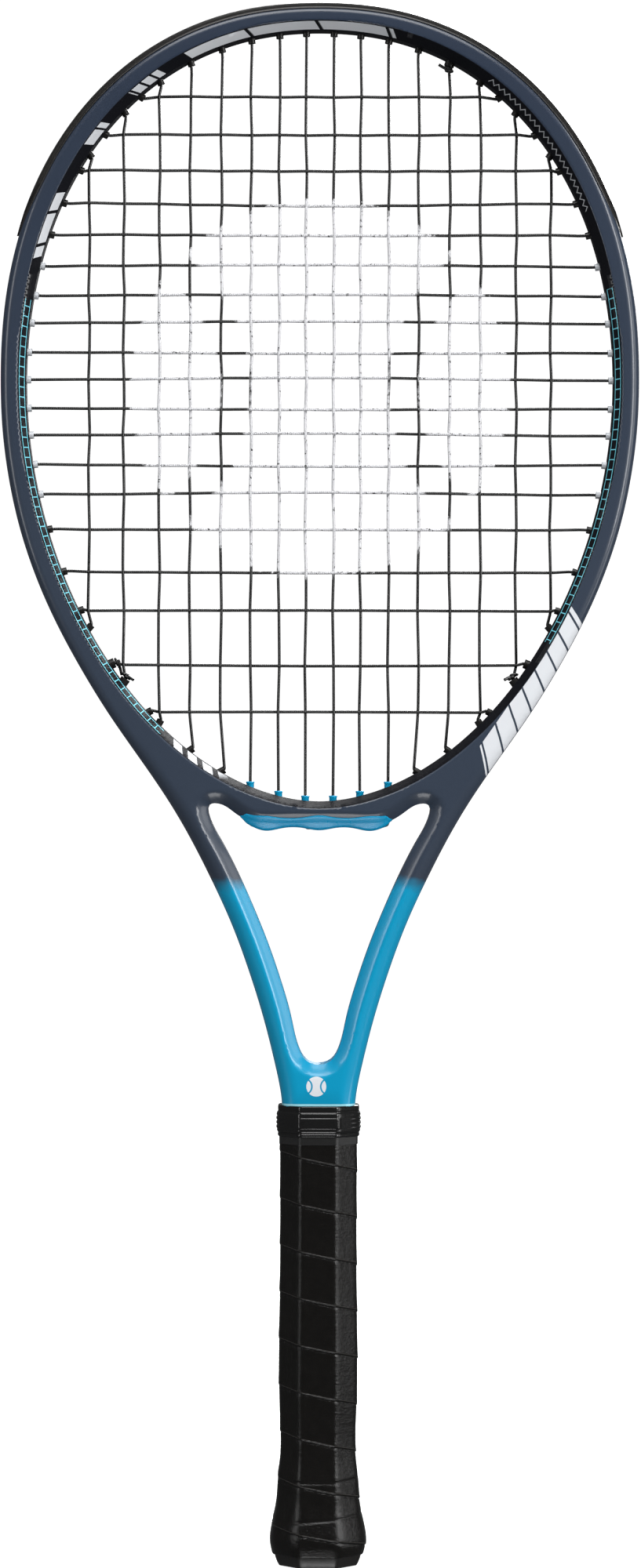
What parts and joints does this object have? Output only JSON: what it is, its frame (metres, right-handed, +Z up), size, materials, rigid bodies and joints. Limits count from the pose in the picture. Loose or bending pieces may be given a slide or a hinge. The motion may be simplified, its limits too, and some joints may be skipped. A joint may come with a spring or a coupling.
{
  "type": "tennis racket",
  "caption": "Tennis racket with a hollow moulded frame, open throat, woven two-piece string bed, bumper, grommet strips and a wrapped, flared handle.",
  "frame": {"origin": "middle of the butt's underside", "axes": "+Z up the handle to the tip of the head, +X across the head, +Y normal to the strings, out of the back"},
  "size_m": [0.28, 0.0388, 0.6858],
  "materials": {
    "frame_paint": "semi-gloss lacquer over moulded carbon laminate, slate grey fading to bright blue at the throat",
    "black_plastic": "moulded nylon, satin",
    "clear_plastic": "milky translucent nylon",
    "blue_plastic": "moulded nylon, satin blue",
    "main_string_black": "smooth black monofilament with white stencil ink",
    "cross_string_black": "textured black multifilament with white stencil ink",
    "handle_foam": "moulded polyurethane foam",
    "steel": "bright wire",
    "grip_tape": "black polyurethane replacement grip, softly glossy",
    "finishing_tape": "black adhesive tape",
    "collar_rubber": "glossy black rubber"
  },
  "bodies": {
    "racket": {"frame": "frame_paint", "bumper_guard": "black_plastic", "side_grommet_left": "clear_plastic", "side_grommet_right": "clear_plastic", "shoulder_grommet_left": "black_plastic", "shoulder_grommet_right": "black_plastic", "throat_grommet": "blue_plastic", "main_string": "main_string_black", "cross_string": "cross_string_black", "main_knot_left": "main_string_black", "main_knot_right": "main_string_black", "cross_knot_top": "cross_string_black", "cross_knot_left": "cross_string_black", "handle_pallet": "handle_foam", "butt_cap": "black_plastic", "butt_cap_staples": "steel", "grip_tack": "steel", "grip_tape": "grip_tape", "finishing_tape": "finishing_tape", "rubber_collar": "collar_rubber"},
    "door": {"butt_cap_door": "black_plastic"}
  },
  "joints": [
    {"name": "door_pull", "type": "slide", "parent": "racket", "child": "door", "axis": [0, 0, -1], "range_m": [0, 0.015]}
  ]
}
